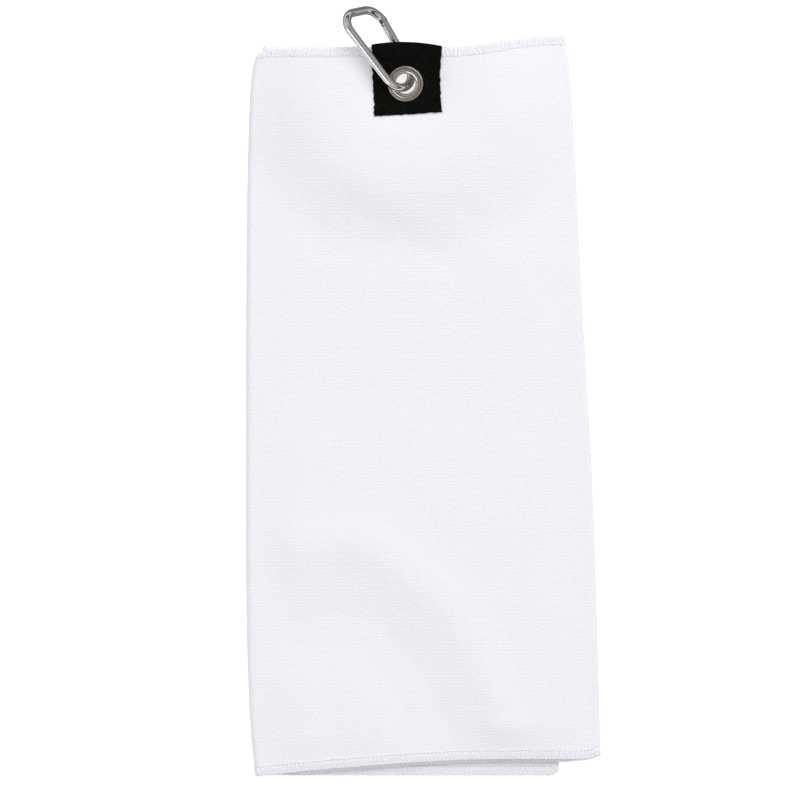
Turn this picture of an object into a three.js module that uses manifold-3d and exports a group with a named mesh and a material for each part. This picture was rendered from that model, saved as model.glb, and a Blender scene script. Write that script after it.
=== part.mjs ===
// Golf towel: a microfibre towel folded in three lengthwise and laid flat, with a fabric patch folded
// over its top edge, a two-part grommet through patch and cloth, and an offset-D spring-gate
// carabiner through the grommet. Millimetres, +Z up, +Y towards the grommet end, +X to the right.
// Everything is built around the grommet's centre line, standing on a surface at Z = 0, and the
// finished group is moved so that its origin is at the bottom centre of its box.
import * as THREE from 'three';
import { mergeVertices } from 'three/addons/utils/BufferGeometryUtils.js';
import Module from 'manifold-3d';

const wasm = await Module();
wasm.setup();

// ---- driving dimensions ----
const GAP = 0.3; // between pieces that touch

const CLOTH_THICKNESS = 1.9; // one loose layer of towel
const PINCHED_THICKNESS = 0.5; // the same layer crushed under the grommet
const LAYER_GAP = 0.35; // air between loose layers
const PINCHED_GAP = 0.1; // air between crushed layers
const PINCH_INNER = 10.5; // radius that is fully crushed
const PINCH_OUTER = 36; // radius where the cloth is loose again
const HEM = 5.0; // width of the overlock seam
const TOP_EDGE_Y = 20.4;
const TOP_RIGHT_RISE = 6.6; // the top edge climbs to the right fold
const TOP_LEFT_ROUND = 8.5; // the top edge drops round the left fold
const FRONT_BOTTOM_Y = -379.2; // right half of the front layer's lower edge
const FRONT_BOTTOM_SAG = 9.6; // how much lower its left end lies
const BACK_BOTTOM_Y = -388.2;
const MIDDLE_SHOWS = 1.5; // the middle layer shows this much below the front one
const INNER_FLAP_TOP_WIDTH = 164.5; // right flap, folded behind first
const INNER_FLAP_BOTTOM_WIDTH = 170;
const OUTER_FLAP_EDGE_X = 86.3; // free edge of the left flap, folded behind last
const BOTTOM_CORNER_RADIUS = 5;

const LIFT = 9.3; // underside of the cloth above the table at the grommet
const DIMPLE = 2.2; // the grommet sits this much lower than the cloth round it
const DIMPLE_RADIUS = 28;
const LIFT_FLAT_RADIUS = 44;
const LIFT_END_RADIUS = 102;

const PATCH_THICKNESS = 0.6;
const PATCH_LEFT_X = -18.3;
const PATCH_RIGHT_X = 20.5;
const PATCH_SLANT = 0.8; // the left edge leans this much either way
const PATCH_BOTTOM_Y = -17.2;
const PATCH_BOTTOM_TILT = 1.2; // the right corner lies this much higher, the left one lower
const PATCH_CROWN_X = -1.6;
const PATCH_CROWN_Y = 23.5;
const PATCH_CROWN_DROP = 1.35; // at the left corner
const PATCH_GAP = 0.3; // between patch and cloth

const GROMMET_HOLE_RADIUS = 5.7;
const GROMMET_WALL = 0.45;
const GROMMET_FLANGE_RADIUS = 10.0;
const GROMMET_SEGMENTS = 36;
const PUNCHED_HOLE_RADIUS = GROMMET_HOLE_RADIUS + GROMMET_WALL + GAP;

const GATE_LEAN = THREE.MathUtils.degToRad(5.784); // the gate arm spreads from the loop's long axis
const NARROW_RADIUS = 11.0; // carabiner's centre line round its narrow bend
const CORNER_RADIUS = 7.5; // and round the corner at the far arm's end
const CORNER_X = -6.8;
const CORNER_Y = 44.2;
const SHOULDER_RADIUS = 12.35; // and round the shoulder that ends at the nose
const SHOULDER_ALONG = 25.66; // from the gate arm's tangent point on the narrow bend
const WIRE_RADIUS = 2.4;
const GATE_RADIUS = 2.2;
const SLOT_WIDTH = 2.2;
const TONGUE_THICKNESS = 1.6;
const RIVET_RADIUS = 0.85;
const RIVET_REACH = 2.05; // each way from the loop's plane
const GATE_SPAN = 26.8; // hinge rivet to latch rivet
const HINGE_FROM_TANGENT = 0.8;
const GATE_TIP = 2.0; // gate beyond the latch rivet
const BORE_RADIUS = 1.15;
const BORE_START = 4.2;
const BORE_END = 13.5;
const CAM_RADIUS = 2.0;
const CAM_RISE = 2.6; // millimetres of plunger travel for each radian of the gate
const CAM_SPAN = THREE.MathUtils.degToRad(32);
const PLUNGER_RADIUS = 0.8;
const PLUNGER_LENGTH = 3.4;
const PLUNGER_TRAVEL = 1.0;
const SPRING_RADIUS = 0.62;
const SPRING_WIRE_RADIUS = 0.17;
const SPRING_TURNS = 8;
const CARABINER_HEADING = THREE.MathUtils.degToRad(33.5);
const CARABINER_ROLL = THREE.MathUtils.degToRad(48);
const CARABINER_PITCH = THREE.MathUtils.degToRad(4.2);
const CARABINER_ALONG = -1.5; // loop's narrow end from the grommet's centre, along its long axis
const CARABINER_Z = 9.66;

// ---- small tools ----
const clamp01 = (value) => Math.min(1, Math.max(0, value));
const lerp = (a, b, f) => a + (b - a) * f;
const smooth = (value) => {
  const f = clamp01(value);
  return f * f * (3 - 2 * f);
};

// x as a function of y, along a smooth line through a few points.
const lineThrough = (points) => {
  const curve = new THREE.SplineCurve(points.map(([x, y]) => new THREE.Vector2(x, y)));
  const samples = curve.getPoints(80);
  return (y) => {
    const last = samples.length - 1;
    if (y >= samples[0].y) return samples[0].x;
    if (y <= samples[last].y) return samples[last].x;
    const next = samples.findIndex((p) => p.y <= y);
    const above = samples[next - 1];
    const below = samples[next];
    return lerp(above.x, below.x, (above.y - y) / (above.y - below.y));
  };
};

const toSolid = (geometry) => {
  const plain = geometry.index ? geometry.toNonIndexed() : geometry.clone();
  plain.deleteAttribute('normal');
  plain.deleteAttribute('uv');
  const merged = mergeVertices(plain, 1e-4);
  return new wasm.Manifold(
    new wasm.Mesh({
      numProp: 3,
      vertProperties: new Float32Array(merged.attributes.position.array),
      triVerts: new Uint32Array(merged.index.array),
    })
  );
};

const toGeometry = (solid) => {
  const mesh = solid.getMesh();
  const geometry = new THREE.BufferGeometry();
  geometry.setAttribute('position', new THREE.BufferAttribute(mesh.vertProperties, 3));
  geometry.setIndex(new THREE.BufferAttribute(mesh.triVerts, 1));
  geometry.computeVertexNormals();
  return geometry;
};

const addMesh = (parent, name, geometry, material) => {
  const mesh = new THREE.Mesh(geometry, material);
  mesh.name = name;
  parent.add(mesh);
  return mesh;
};

// The same triangles, turned over if they enclose a negative volume.
const facingOut = (positions, index) => {
  const corner = (k) => new THREE.Vector3().fromArray(positions, 3 * index[k]);
  let volume = 0;
  for (let k = 0; k < index.length; k += 3) {
    volume += corner(k).dot(corner(k + 1).cross(corner(k + 2)));
  }
  return volume < 0 ? [...index].reverse() : index;
};

// A sheet with thickness: pair(i, j) gives the points on its two faces.
const thickSheet = (columns, rows, pair) => {
  const positions = [];
  for (let i = 0; i < columns; i += 1) {
    for (let j = 0; j < rows; j += 1) {
      pair(i, j).forEach((p) => positions.push(p.x, p.y, p.z));
    }
  }
  const at = (i, j, face) => (i * rows + j) * 2 + face;
  const index = [];
  const quad = (a, b, c, d) => index.push(a, b, c, a, c, d);
  for (let i = 0; i + 1 < columns; i += 1) {
    for (let j = 0; j + 1 < rows; j += 1) {
      quad(at(i, j, 0), at(i + 1, j, 0), at(i + 1, j + 1, 0), at(i, j + 1, 0));
      quad(at(i, j, 1), at(i, j + 1, 1), at(i + 1, j + 1, 1), at(i + 1, j, 1));
    }
    quad(at(i, 0, 0), at(i, 0, 1), at(i + 1, 0, 1), at(i + 1, 0, 0));
    quad(at(i, rows - 1, 0), at(i + 1, rows - 1, 0), at(i + 1, rows - 1, 1), at(i, rows - 1, 1));
  }
  for (let j = 0; j + 1 < rows; j += 1) {
    quad(at(0, j, 0), at(0, j + 1, 0), at(0, j + 1, 1), at(0, j, 1));
    const last = columns - 1;
    quad(at(last, j, 0), at(last, j, 1), at(last, j + 1, 1), at(last, j + 1, 0));
  }
  const geometry = new THREE.BufferGeometry();
  geometry.setAttribute('position', new THREE.Float32BufferAttribute(positions, 3));
  geometry.setIndex(facingOut(positions, index));
  geometry.computeVertexNormals();
  return geometry;
};

// A round bar from start to end.
const barBetween = (start, end, radius, segments = 24) => {
  const length = start.distanceTo(end);
  const bar = new THREE.CylinderGeometry(radius, radius, length, segments);
  bar.rotateX(Math.PI / 2);
  bar.lookAt(end.clone().sub(start));
  const middle = start.clone().lerp(end, 0.5);
  bar.translate(middle.x, middle.y, middle.z);
  return bar;
};

// ---- how high the cloth lies, and how thick it is there ----
const fromGrommet = (x, y) => Math.hypot(x, y);
const loose = (x, y) => smooth((fromGrommet(x, y) - PINCH_INNER) / (PINCH_OUTER - PINCH_INNER));
const clothThickness = (x, y) => lerp(PINCHED_THICKNESS, CLOTH_THICKNESS, loose(x, y));
const layerGap = (x, y) => lerp(PINCHED_GAP, LAYER_GAP, loose(x, y));
const stackHeight = (x, y) => 3 * clothThickness(x, y) + 2 * layerGap(x, y);
const PINCHED_STACK = 3 * PINCHED_THICKNESS + 2 * PINCHED_GAP;
const STACK_MIDDLE_Z = LIFT + PINCHED_STACK / 2;

// The carabiner's gate arm lies on the table under the cloth and lifts this end of it.
const lifted = (x, y) => {
  const r = fromGrommet(x, y);
  return 1 - smooth((r - LIFT_FLAT_RADIUS) / (LIFT_END_RADIUS - LIFT_FLAT_RADIUS));
};
const clothUnderside = (x, y) => {
  const dimple = DIMPLE * smooth((fromGrommet(x, y) - PINCH_INNER) / (DIMPLE_RADIUS - PINCH_INNER));
  const raised = STACK_MIDDLE_Z + dimple - stackHeight(x, y) / 2;
  return Math.max(0, raised * lifted(x, y));
};
const layerFloor = (layer, x, y) =>
  clothUnderside(x, y) + layer * (clothThickness(x, y) + layerGap(x, y));
const clothTop = (x, y) => clothUnderside(x, y) + stackHeight(x, y);

// ---- outline of the folded towel ----
const leftFoldX = lineThrough([
  [-80.5, 19],
  [-84.8, 12.5],
  [-87.4, -9],
  [-89.1, -76],
  [-89.6, -180],
  [-89.4, -290],
  [-87.5, -355],
  [-84.2, -390],
]);
const rightFoldX = lineThrough([
  [89.4, 27.4],
  [93.6, -9],
  [99.2, -121],
  [105.4, -234],
  [109.2, -362],
  [109.4, -380],
]);
const frontTopY = (x) => {
  const rise = TOP_RIGHT_RISE * smooth((x - 24) / 60);
  const round = TOP_LEFT_ROUND * clamp01((-76 - x) / 14) ** 2;
  return TOP_EDGE_Y + rise - round;
};
const frontBottomY = (x) => {
  const sag = FRONT_BOTTOM_SAG * clamp01((50 - x) / 135) ** 1.5;
  const round = BOTTOM_CORNER_RADIUS * clamp01((x - 101) / 10) ** 2;
  return FRONT_BOTTOM_Y - sag + round;
};
const middleTopY = (x) => frontTopY(x) - 1.2 * smooth((88 - x) / 14);
const middleBottomY = (x) => frontBottomY(x) - MIDDLE_SHOWS * smooth((106 - x) / 20);
const backTopY = (x) => {
  const front = frontTopY(x);
  return Math.min(front, lerp(front, TOP_EDGE_Y - 0.8, smooth((x + 84) / 14)));
};
const backBottomY = (x) => {
  const intoCorner = clamp01((x - OUTER_FLAP_EDGE_X) / BOTTOM_CORNER_RADIUS + 1);
  const round = 0.6 * BOTTOM_CORNER_RADIUS * intoCorner ** 2;
  return lerp(frontBottomY(x), BACK_BOTTOM_Y, smooth((x + 84) / 20)) + round;
};

// ---- the folded path, from the left flap's free edge round to the right flap's ----
// Stations across a layer, closest together around the grommet.
const HALF_STATIONS = [0.025, 0.05, 0.075, 0.1, 0.13, 0.165, 0.2, 0.25, 0.3, 0.35, 0.4, 0.45, 0.5];
const STATIONS = [
  ...[...HALF_STATIONS].reverse().map((f) => 0.5 - f),
  0.5,
  ...HALF_STATIONS.map((f) => 0.5 + f),
];
const FOLD_STEPS = 6;
const SIDE_HEM = HEM + GAP;

// Each path point knows its layer or fold; where() gives its place at a distance along the towel.
const layerPoint = (layer, fraction, inset) => ({ kind: 'layer', layer, fraction, inset });
const foldPoint = (side, angle) => ({ kind: 'fold', side, angle });

const foldRadius = (side, x, y) => {
  const step = clothThickness(x, y) + layerGap(x, y);
  return side === 'left' ? step : step / 2;
};
const foldCentreX = (side, y) => {
  const x = side === 'left' ? leftFoldX(y) : rightFoldX(y);
  const inward = foldRadius(side, x, y) + clothThickness(x, y) / 2;
  return side === 'left' ? x + inward : x - inward;
};
const freeEdgeX = (layer, y) => {
  if (layer === 0) return OUTER_FLAP_EDGE_X;
  const down = clamp01(y / FRONT_BOTTOM_Y);
  return rightFoldX(y) - lerp(INNER_FLAP_TOP_WIDTH, INNER_FLAP_BOTTOM_WIDTH, down);
};
const edgeYs = (point, x) => {
  if (point.layer === 0) return [backTopY(x), backBottomY(x)];
  if (point.layer === 1) return [middleTopY(x), middleBottomY(x)];
  return [frontTopY(x), frontBottomY(x)];
};
const acrossX = (point, y) => {
  if (point.kind === 'fold') return foldCentreX(point.side, y);
  const left = foldCentreX('left', y);
  const right = foldCentreX('right', y);
  if (point.layer === 2) return lerp(left, right, point.fraction);
  if (point.layer === 1) return lerp(freeEdgeX(1, y) + point.inset, right, point.fraction);
  return lerp(left, freeEdgeX(0, y) - point.inset, point.fraction);
};

// The two faces of the cloth at a path point, at a height y worked out from its own edges.
const clothPair = (point, yAt) => {
  let y = -180;
  for (let pass = 0; pass < 4; pass += 1) {
    const [top, bottom] = edgeYs(point, acrossX(point, y));
    y = yAt(top, bottom);
  }
  const x = acrossX(point, y);
  if (point.kind === 'layer') {
    const floor = layerFloor(point.layer, x, y);
    const ceiling = floor + clothThickness(x, y);
    const low = new THREE.Vector3(x, y, floor);
    const high = new THREE.Vector3(x, y, ceiling);
    return point.layer === 2 ? [high, low] : [low, high];
  }
  const half = clothThickness(x, y) / 2;
  const radius = foldRadius(point.side, x, y);
  const lowest = layerFloor(point.side === 'left' ? 0 : 1, x, y) + half;
  const centreZ = lowest + radius;
  const outward = point.side === 'left' ? -1 : 1;
  return [radius + half, radius - half].map((r) => {
    const across = outward * r * Math.cos(point.angle);
    return new THREE.Vector3(x + across, y, centreZ + r * Math.sin(point.angle));
  });
};

const foldArc = (side, from, to) => {
  const points = [];
  for (let step = 1; step < FOLD_STEPS; step += 1) {
    points.push(foldPoint(side, lerp(from, to, step / FOLD_STEPS)));
  }
  return points;
};
const foldedPath = [
  ...[...STATIONS].reverse().map((f) => layerPoint(0, f, SIDE_HEM)),
  ...foldArc('left', -Math.PI / 2, Math.PI / 2),
  ...STATIONS.map((f) => layerPoint(2, f, SIDE_HEM)),
  ...foldArc('right', Math.PI / 2, -Math.PI / 2),
  ...[...STATIONS].reverse().map((f) => layerPoint(1, f, SIDE_HEM)),
];
const hemPath = [layerPoint(0, 1, 0), ...foldedPath, layerPoint(1, 0, 0)];

const punchHole = (geometry) => {
  const punch = barBetween(
    new THREE.Vector3(0, 0, -5),
    new THREE.Vector3(0, 0, 40),
    PUNCHED_HOLE_RADIUS,
    GROMMET_SEGMENTS
  );
  return toGeometry(toSolid(geometry).subtract(toSolid(punch)));
};

// ---- towel cloth and its overlock seams ----
// Rows down the towel, as distances below the top hem and above the bottom one.
const ROWS_FROM_TOP = [0, 4.5, 9, 13.5, 18, 22.5, 27, 32, 40, 51, 63, 75, 87, 99, 115, 160, 240, 320];

const buildCloth = () => {
  const rows = ROWS_FROM_TOP.length + 1;
  const lastRow = (_, bottom) => bottom + SIDE_HEM;
  const rowY = (j) => (j === rows - 1 ? lastRow : (top) => top - SIDE_HEM - ROWS_FROM_TOP[j]);
  return thickSheet(foldedPath.length, rows, (i, j) => clothPair(foldedPath[i], rowY(j)));
};

const buildTopHem = () =>
  thickSheet(hemPath.length, 2, (i, j) => clothPair(hemPath[i], (top) => top - j * HEM));

const buildBottomHem = () =>
  thickSheet(hemPath.length, 2, (i, j) => clothPair(hemPath[i], (_, bottom) => bottom + j * HEM));

// The seam down a flap's free edge, between the top and bottom seams.
const buildFlapHem = (layer) => {
  const rows = ROWS_FROM_TOP.length + 1;
  return thickSheet(2, rows, (i, j) => {
    const edge = layerPoint(layer, layer === 0 ? 1 : 0, i * HEM);
    return clothPair(edge, (top, bottom) => {
      if (j === rows - 1) return bottom + SIDE_HEM + GAP / 2;
      return top - SIDE_HEM - GAP / 2 - ROWS_FROM_TOP[j];
    });
  });
};

// ---- the fabric patch folded over the top edge ----
const PATCH_COLUMNS = 9;
const PATCH_FLAP_ROWS = 8;
const PATCH_FOLD_ROWS = 7;
const PATCH_FOLD_START = TOP_EDGE_Y + PATCH_GAP;

const buildPatch = () => {
  const rows = 2 * PATCH_FLAP_ROWS + PATCH_FOLD_ROWS;
  return thickSheet(PATCH_COLUMNS, rows, (i, j) => {
    const f = i / (PATCH_COLUMNS - 1);
    const patchX = (down) => lerp(PATCH_LEFT_X + lerp(-PATCH_SLANT, PATCH_SLANT, down), PATCH_RIGHT_X, f);
    const bottom = PATCH_BOTTOM_Y + lerp(-PATCH_BOTTOM_TILT, PATCH_BOTTOM_TILT, f);
    const flapPair = (row, top) => {
      const down = 1 - row / PATCH_FLAP_ROWS;
      const x = patchX(down);
      const y = lerp(PATCH_FOLD_START, bottom, down);
      const inner = top ? clothTop(x, y) + PATCH_GAP : clothUnderside(x, y) - PATCH_GAP;
      const outer = top ? inner + PATCH_THICKNESS : inner - PATCH_THICKNESS;
      return [new THREE.Vector3(x, y, outer), new THREE.Vector3(x, y, inner)];
    };
    if (j < PATCH_FLAP_ROWS) return flapPair(j, true);
    if (j >= rows - PATCH_FLAP_ROWS) return flapPair(rows - 1 - j, false);
    const x = patchX(0);
    const fromCrown = (x - PATCH_CROWN_X) / (PATCH_CROWN_X - PATCH_LEFT_X);
    const crown = PATCH_CROWN_Y - PATCH_CROWN_DROP * fromCrown ** 2;
    const angle = Math.PI / 2 - (Math.PI * (j - PATCH_FLAP_ROWS)) / (PATCH_FOLD_ROWS - 1);
    const low = clothUnderside(x, PATCH_FOLD_START) - PATCH_GAP;
    const high = clothTop(x, PATCH_FOLD_START) + PATCH_GAP;
    const middle = (low + high) / 2;
    return [PATCH_THICKNESS, 0].map((out) => {
      const reach = crown - PATCH_FOLD_START - PATCH_THICKNESS + out;
      const rise = (high - low) / 2 + out;
      const y = PATCH_FOLD_START + reach * Math.cos(angle);
      return new THREE.Vector3(x, y, middle + rise * Math.sin(angle));
    });
  });
};

// ---- grommet: a flanged eyelet from the front, curled over a washer at the back ----
const PATCH_FACE = PINCHED_STACK / 2 + PATCH_GAP + PATCH_THICKNESS;

const latheRing = (outline) => {
  const closed = [...outline, outline[0]].map(([r, z]) => new THREE.Vector2(r, z));
  const geometry = new THREE.LatheGeometry(closed, GROMMET_SEGMENTS);
  geometry.rotateX(Math.PI / 2);
  geometry.translate(0, 0, STACK_MIDDLE_Z);
  return geometry;
};

const buildEyelet = () => {
  const seat = PATCH_FACE + GAP;
  const inner = GROMMET_HOLE_RADIUS;
  const outer = inner + GROMMET_WALL;
  const foot = -(PATCH_FACE + 0.85);
  return latheRing([
    [GROMMET_FLANGE_RADIUS, seat],
    [GROMMET_FLANGE_RADIUS, seat + 0.3],
    [9.5, seat + 0.6],
    [8.9, seat + 0.62],
    [8.3, seat + 0.85],
    [7.5, seat + 0.95],
    [6.7, seat + 0.85],
    [inner + 0.3, seat + 0.55],
    [inner, seat + 0.1],
    [inner, foot + 0.25],
    [inner + 0.25, foot - 0.1],
    [inner + 0.7, foot - 0.2],
    [inner + 1.2, foot - 0.15],
    [inner + 1.2, foot],
    [outer, foot],
    [outer, seat],
  ]);
};

const buildWasher = () => {
  const inner = PUNCHED_HOLE_RADIUS;
  const seat = -(PATCH_FACE + GAP);
  return latheRing([
    [inner, seat],
    [inner, seat - 0.25],
    [inner + 1.3, seat - 0.25],
    [inner + 1.9, seat - 0.5],
    [GROMMET_FLANGE_RADIUS - 0.5, seat - 0.45],
    [GROMMET_FLANGE_RADIUS, seat - 0.2],
    [GROMMET_FLANGE_RADIUS, seat],
  ]);
};

// ---- carabiner, in its own plane: +Y along the loop, +X towards the gate, +Z its normal ----
const ARM = new THREE.Vector3(Math.sin(GATE_LEAN), Math.cos(GATE_LEAN), 0); // along the gate
const OUT = new THREE.Vector3(Math.cos(GATE_LEAN), -Math.sin(GATE_LEAN), 0); // from the inside
const TANGENT = new THREE.Vector3(0, NARROW_RADIUS, 0).addScaledVector(OUT, NARROW_RADIUS);
const HINGE = TANGENT.clone().addScaledVector(ARM, HINGE_FROM_TANGENT);
const SHOULDER = TANGENT.clone()
  .addScaledVector(ARM, SHOULDER_ALONG)
  .addScaledVector(OUT, -SHOULDER_RADIUS);
const onGate = (along, out = 0, side = 0) =>
  HINGE.clone()
    .addScaledVector(ARM, along)
    .addScaledVector(OUT, out)
    .add(new THREE.Vector3(0, 0, side));

// The loop's bends in order from the hinge, and the angle of the tangent that joins one to the next.
const BENDS = [
  { x: 0, y: NARROW_RADIUS, radius: NARROW_RADIUS },
  { x: CORNER_X, y: CORNER_Y, radius: CORNER_RADIUS },
  { x: SHOULDER.x, y: SHOULDER.y, radius: SHOULDER_RADIUS },
];
const tangentAngle = (bend, next) => {
  const across = next.x - bend.x;
  const along = next.y - bend.y;
  const turn = Math.acos((bend.radius - next.radius) / Math.hypot(across, along));
  return Math.atan2(along, across) + turn;
};

// The loop's centre line from the hinge end, round the bends and the far arm, to the nose.
class LoopLine extends THREE.Curve {
  constructor() {
    super();
    const overlap = 0.05; // the ends run this far past the gate's tangent points
    const farArm = tangentAngle(BENDS[0], BENDS[1]);
    const end = tangentAngle(BENDS[1], BENDS[2]);
    const angles = [
      [-GATE_LEAN - overlap, farArm],
      [farArm, end],
      [end, -GATE_LEAN + overlap],
    ];
    this.path = new THREE.Path();
    BENDS.forEach(({ x, y, radius }, k) => this.path.absarc(x, y, radius, ...angles[k], true));
  }

  getPoint(t, target = new THREE.Vector3()) {
    const { x, y } = this.path.getPoint(t);
    return target.set(x, y, 0);
  }
}

const circleShape = (radius) => new THREE.Shape().absarc(0, 0, radius, 0, 2 * Math.PI);

// A flat plate in the loop's plane from an outline given along and out from the hinge.
const plate = (outline, thickness) => {
  const shape = new THREE.Shape(
    outline.map(([along, out]) => {
      const p = onGate(along, out);
      return new THREE.Vector2(p.x, p.y);
    })
  );
  const geometry = new THREE.ExtrudeGeometry(shape, { depth: thickness, bevelEnabled: false });
  geometry.translate(0, 0, -thickness / 2);
  return geometry;
};

const rectangle = (alongFrom, alongTo, outFrom, outTo) => [
  [alongFrom, outFrom],
  [alongTo, outFrom],
  [alongTo, outTo],
  [alongFrom, outTo],
];

// Radius of the hinge tongue's cam at an angle towards the loop's inside.
const camRadius = (angle) => CAM_RADIUS + CAM_RISE * Math.min(CAM_SPAN, Math.max(0, angle));

const hingeTongueOutline = () => {
  const outline = [];
  for (let step = 0; step <= 14; step += 1) {
    const angle = lerp(-Math.PI / 2, CAM_SPAN + 0.1, step / 14);
    const r = camRadius(angle);
    outline.push([r * Math.cos(angle), -r * Math.sin(angle)]);
  }
  outline.push([0.6, -1.8], [-4.4, -1.8], [-4.4, 1.8]);
  return outline;
};

// The nose is a tongue with a notch, open to the inside, that the latch rivet drops into.
const noseOutline = () => {
  const notch = RIVET_RADIUS + 0.4;
  const outline = [
    [GATE_SPAN + 4.2, 0.4],
    [GATE_SPAN + 2.3, 1.5],
    [GATE_SPAN - 1.5, 1.8],
    [GATE_SPAN - 2.1, 1.2],
    [GATE_SPAN - 2.1, -1.4],
    [GATE_SPAN - notch, -1.4],
  ];
  for (let step = 0; step <= 6; step += 1) {
    const angle = Math.PI - (Math.PI * step) / 6;
    outline.push([GATE_SPAN + notch * Math.cos(angle), 0.1 + notch * 0.9 * Math.sin(angle)]);
  }
  outline.push([GATE_SPAN + notch, -1.6], [GATE_SPAN + 4.2, -1.6]);
  return outline;
};

const buildCarabinerBody = () => {
  const loop = new THREE.ExtrudeGeometry(circleShape(WIRE_RADIUS), {
    steps: 72,
    curveSegments: 6,
    bevelEnabled: false,
    extrudePath: new LoopLine(),
  });
  const gateRoom = barBetween(
    onGate(-GATE_RADIUS - 0.35),
    onGate(GATE_SPAN + GATE_TIP + GAP),
    WIRE_RADIUS + 1.5
  );
  const rivetHole = barBetween(onGate(0, 0, -2), onGate(0, 0, 2), RIVET_RADIUS + GAP, 16);
  return toGeometry(
    toSolid(loop)
      .subtract(toSolid(gateRoom))
      .add(toSolid(plate(hingeTongueOutline(), TONGUE_THICKNESS)))
      .subtract(toSolid(rivetHole))
      .add(toSolid(plate(noseOutline(), TONGUE_THICKNESS)))
  );
};

const buildGate = () => {
  const rod = barBetween(onGate(-GATE_RADIUS), onGate(GATE_SPAN + GATE_TIP), GATE_RADIUS, 20);
  const roundEnd = barBetween(onGate(0, 0, -4), onGate(0, 0, 4), GATE_RADIUS, 20);
  const rest = plate(rectangle(0, 40, -4, 4), 8);
  const hingeSlot = plate(rectangle(-4, BORE_START, -4, 4), SLOT_WIDTH);
  const latchSlot = plate(rectangle(GATE_SPAN - 3, GATE_SPAN + 4, -4, 4), SLOT_WIDTH);
  const bore = barBetween(onGate(BORE_START - 1), onGate(BORE_END), BORE_RADIUS, 12);
  const rivets = [0, GATE_SPAN].map((along) =>
    toSolid(barBetween(onGate(along, 0, -4), onGate(along, 0, 4), RIVET_RADIUS + 0.25, 16))
  );
  return toGeometry(
    toSolid(rod)
      .intersect(toSolid(roundEnd).add(toSolid(rest)))
      .subtract(toSolid(hingeSlot))
      .subtract(toSolid(latchSlot))
      .subtract(toSolid(bore))
      .subtract(rivets[0])
      .subtract(rivets[1])
  );
};

const buildRivet = (along) =>
  barBetween(onGate(along, 0, -RIVET_REACH), onGate(along, 0, RIVET_REACH), RIVET_RADIUS, 16);

const buildPlunger = () => {
  const tip = CAM_RADIUS + GAP;
  const profile = [
    [0, tip],
    [0.2, tip],
    [PLUNGER_RADIUS, tip + 1.2],
    [PLUNGER_RADIUS, tip + PLUNGER_LENGTH],
    [0, tip + PLUNGER_LENGTH],
  ];
  const outline = profile.map(([r, along]) => new THREE.Vector2(r, along));
  const plunger = new THREE.LatheGeometry(outline, 12);
  plunger.rotateZ(-GATE_LEAN);
  plunger.translate(HINGE.x, HINGE.y, HINGE.z);
  return plunger;
};

class SpringHelix extends THREE.Curve {
  constructor(from, to) {
    super();
    this.from = from;
    this.to = to;
  }

  getPoint(t) {
    const angle = 2 * Math.PI * SPRING_TURNS * t;
    const out = SPRING_RADIUS * Math.cos(angle);
    const side = SPRING_RADIUS * Math.sin(angle);
    return onGate(lerp(this.from, this.to, t), out, side);
  }
}

const buildSpring = () => {
  const from = CAM_RADIUS + GAP + PLUNGER_LENGTH + PLUNGER_TRAVEL + 0.45;
  return new THREE.ExtrudeGeometry(circleShape(SPRING_WIRE_RADIUS), {
    steps: 11 * SPRING_TURNS,
    curveSegments: 3,
    bevelEnabled: false,
    extrudePath: new SpringHelix(from, BORE_END - 0.5),
  });
};

// ---- materials ----
const towelling = new THREE.MeshStandardMaterial({ color: 0xf1f2f6, roughness: 0.95, metalness: 0 });
const thread = new THREE.MeshStandardMaterial({ color: 0xf6f6f8, roughness: 0.8, metalness: 0 });
const patchCloth = new THREE.MeshStandardMaterial({ color: 0x0b0b0a, roughness: 0.95, metalness: 0 });
const nickel = new THREE.MeshStandardMaterial({ color: 0xc9c4bc, roughness: 0.18, metalness: 1 });
const aluminium = new THREE.MeshStandardMaterial({ color: 0xc8c9c6, roughness: 0.22, metalness: 1 });
const steel = new THREE.MeshStandardMaterial({ color: 0xb5b5b5, roughness: 0.3, metalness: 1 });

// ---- assembly ----
const golfTowel = new THREE.Group();
addMesh(golfTowel, 'towel_cloth', punchHole(buildCloth()), towelling.clone());
addMesh(golfTowel, 'top_overlock_seam', buildTopHem(), thread.clone());
addMesh(golfTowel, 'bottom_overlock_seam', buildBottomHem(), thread.clone());
addMesh(golfTowel, 'inner_flap_overlock_seam', buildFlapHem(1), thread.clone());
addMesh(golfTowel, 'outer_flap_overlock_seam', buildFlapHem(0), thread.clone());
addMesh(golfTowel, 'grommet_patch', punchHole(buildPatch()), patchCloth.clone());
addMesh(golfTowel, 'grommet_eyelet', buildEyelet(), nickel.clone());
addMesh(golfTowel, 'grommet_washer', buildWasher(), nickel.clone());

const carabiner = new THREE.Group();
carabiner.rotation.set(CARABINER_PITCH, CARABINER_ROLL, CARABINER_HEADING, 'ZXY');
carabiner.position.set(
  -CARABINER_ALONG * Math.sin(CARABINER_HEADING),
  CARABINER_ALONG * Math.cos(CARABINER_HEADING),
  CARABINER_Z
);
addMesh(carabiner, 'carabiner_body', buildCarabinerBody(), aluminium.clone());
addMesh(carabiner, 'carabiner_gate', buildGate(), aluminium.clone());
addMesh(carabiner, 'gate_hinge_rivet', buildRivet(0), steel.clone());
addMesh(carabiner, 'gate_latch_rivet', buildRivet(GATE_SPAN), steel.clone());
addMesh(carabiner, 'gate_plunger', buildPlunger(), steel.clone());
addMesh(carabiner, 'gate_spring', buildSpring(), steel.clone());
golfTowel.add(carabiner);

golfTowel.updateMatrixWorld(true);
const box = new THREE.Box3().setFromObject(golfTowel, true);
const middle = box.getCenter(new THREE.Vector3());
golfTowel.position.set(-middle.x, -middle.y, -box.min.z);

export default golfTowel;
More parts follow.
